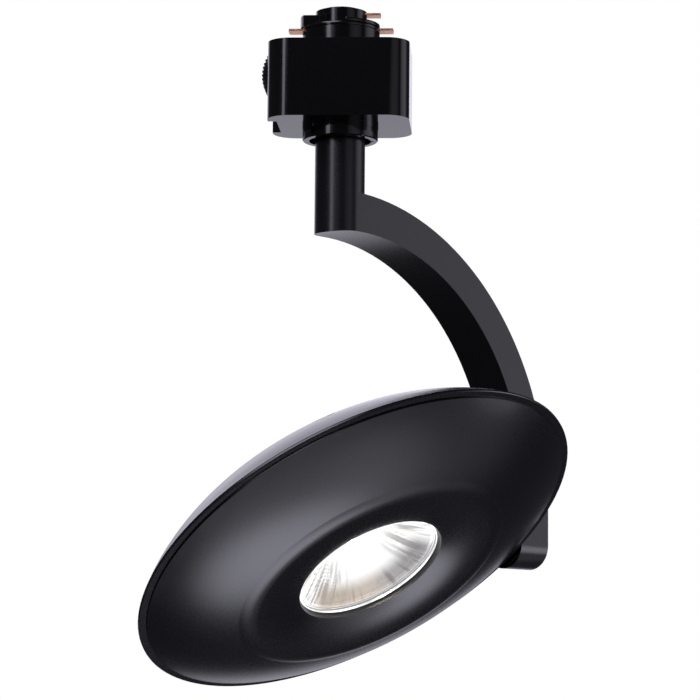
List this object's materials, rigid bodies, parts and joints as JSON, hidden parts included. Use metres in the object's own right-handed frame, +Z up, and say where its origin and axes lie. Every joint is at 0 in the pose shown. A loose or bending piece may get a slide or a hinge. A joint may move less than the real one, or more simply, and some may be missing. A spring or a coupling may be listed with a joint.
{
  "type": "track spotlight",
  "caption": "Black track spotlight with a twist-lock adapter, a swivelling quarter-circle arm and a tilting saucer head with a small round lens.",
  "frame": {"origin": "on the swivel axis, in the adapter block's top face, which is the face that seats on the track", "axes": "+Z up into the track, X along the adapter block and the track, Y across them; the stem and arm hang along -Z"},
  "size_m": [0.1161, 0.1265, 0.189],
  "materials": {
    "gloss_black": "polished moulded polycarbonate",
    "satin_black": "satin powder coat on die-cast aluminium",
    "black_plastic": "moulded",
    "ivory_plastic": "moulded",
    "white_plastic": "moulded",
    "green_plastic": "moulded",
    "copper": "bright strip",
    "brass": "stamped",
    "zinc_steel": "zinc plated",
    "spring_steel": "oiled wire",
    "sheath_black": "insulation",
    "sheath_white": "insulation",
    "sheath_green": "insulation",
    "sheath_red": "insulation",
    "aluminium": "machined",
    "gasket": "moulded",
    "lens_glass": "textured clear",
    "reflector": "vapour-metallised facets",
    "phosphor": "cast silicone",
    "pcb_green": "solder mask",
    "pcb_white": "solder mask",
    "insulator_film": "sheet",
    "pad_grey": "silicone sheet",
    "can_black": "shrink sleeve",
    "tape_yellow": "wound tape",
    "chip_black": "epoxy"
  },
  "bodies": {
    "adapter": {"adapter_housing": "gloss_black", "adapter_cover": "gloss_black", "cover_screws": "zinc_steel", "contact_tower": "gloss_black", "contact_retainer": "ivory_plastic", "line_contact": "copper", "neutral_contact": "copper", "earth_contact": "copper", "crimp_sleeves": "brass", "adapter_line_lead": "sheath_black", "adapter_neutral_lead": "sheath_white", "adapter_earth_lead": "sheath_green", "lock_spring": "spring_steel", "swivel_bush": "ivory_plastic", "swivel_collar": "gloss_black", "swivel_stop_pin": "zinc_steel"},
    "lock": {"lock_slide": "gloss_black"},
    "arm": {"arm_casting": "satin_black", "cable_cover": "black_plastic", "stop_washer": "zinc_steel", "swivel_wave_washer": "spring_steel", "swivel_nut": "zinc_steel", "arm_line_lead": "sheath_black", "arm_neutral_lead": "sheath_white", "arm_earth_lead": "sheath_green", "pivot_stud": "zinc_steel", "pivot_cap": "black_plastic", "pivot_spring_washer": "spring_steel", "pivot_nut": "zinc_steel", "tilt_stop_pin": "zinc_steel"},
    "head": {"rear_shell": "satin_black", "front_bezel": "satin_black", "rim_gasket": "gasket", "shell_screws": "zinc_steel", "lens": "lens_glass", "lens_retainer": "spring_steel", "reflector": "reflector", "led_emitter": "phosphor", "led_board": "pcb_white", "led_holder": "white_plastic", "led_holder_screws": "zinc_steel", "thermal_pad": "pad_grey", "heat_sink": "aluminium", "heat_sink_screws": "zinc_steel", "driver_board": "pcb_green", "driver_insulator": "insulator_film", "driver_screws": "zinc_steel", "driver_transformer": "tape_yellow", "driver_capacitors": "can_black", "driver_choke": "copper", "driver_film_capacitor": "tape_yellow", "driver_chips": "chip_black", "driver_terminal": "green_plastic", "head_line_lead": "sheath_black", "head_neutral_lead": "sheath_white", "head_earth_lead": "sheath_green", "earth_tag": "brass", "earth_screw": "zinc_steel", "led_positive_lead": "sheath_red", "led_negative_lead": "sheath_black"}
  },
  "joints": [
    {"name": "lock_slide", "type": "slide", "parent": "adapter", "child": "lock", "axis": [0, 0, -1], "range_m": [0, 0.003], "stiffness_N_per_m": 500, "springref_m": -0.002, "deforming": ["lock_spring"]},
    {"name": "stem_swivel", "type": "hinge", "parent": "adapter", "child": "arm", "pos_m": [0, 0, 0], "axis": [0, 0, 1], "range_deg": [-163, 163]},
    {"name": "head_tilt", "type": "hinge", "parent": "arm", "child": "head", "pos_m": [0, 0, -0.1356], "axis": [-0.6508, -0.7593, 0], "range_deg": [-126.6, 53.4]}
  ]
}
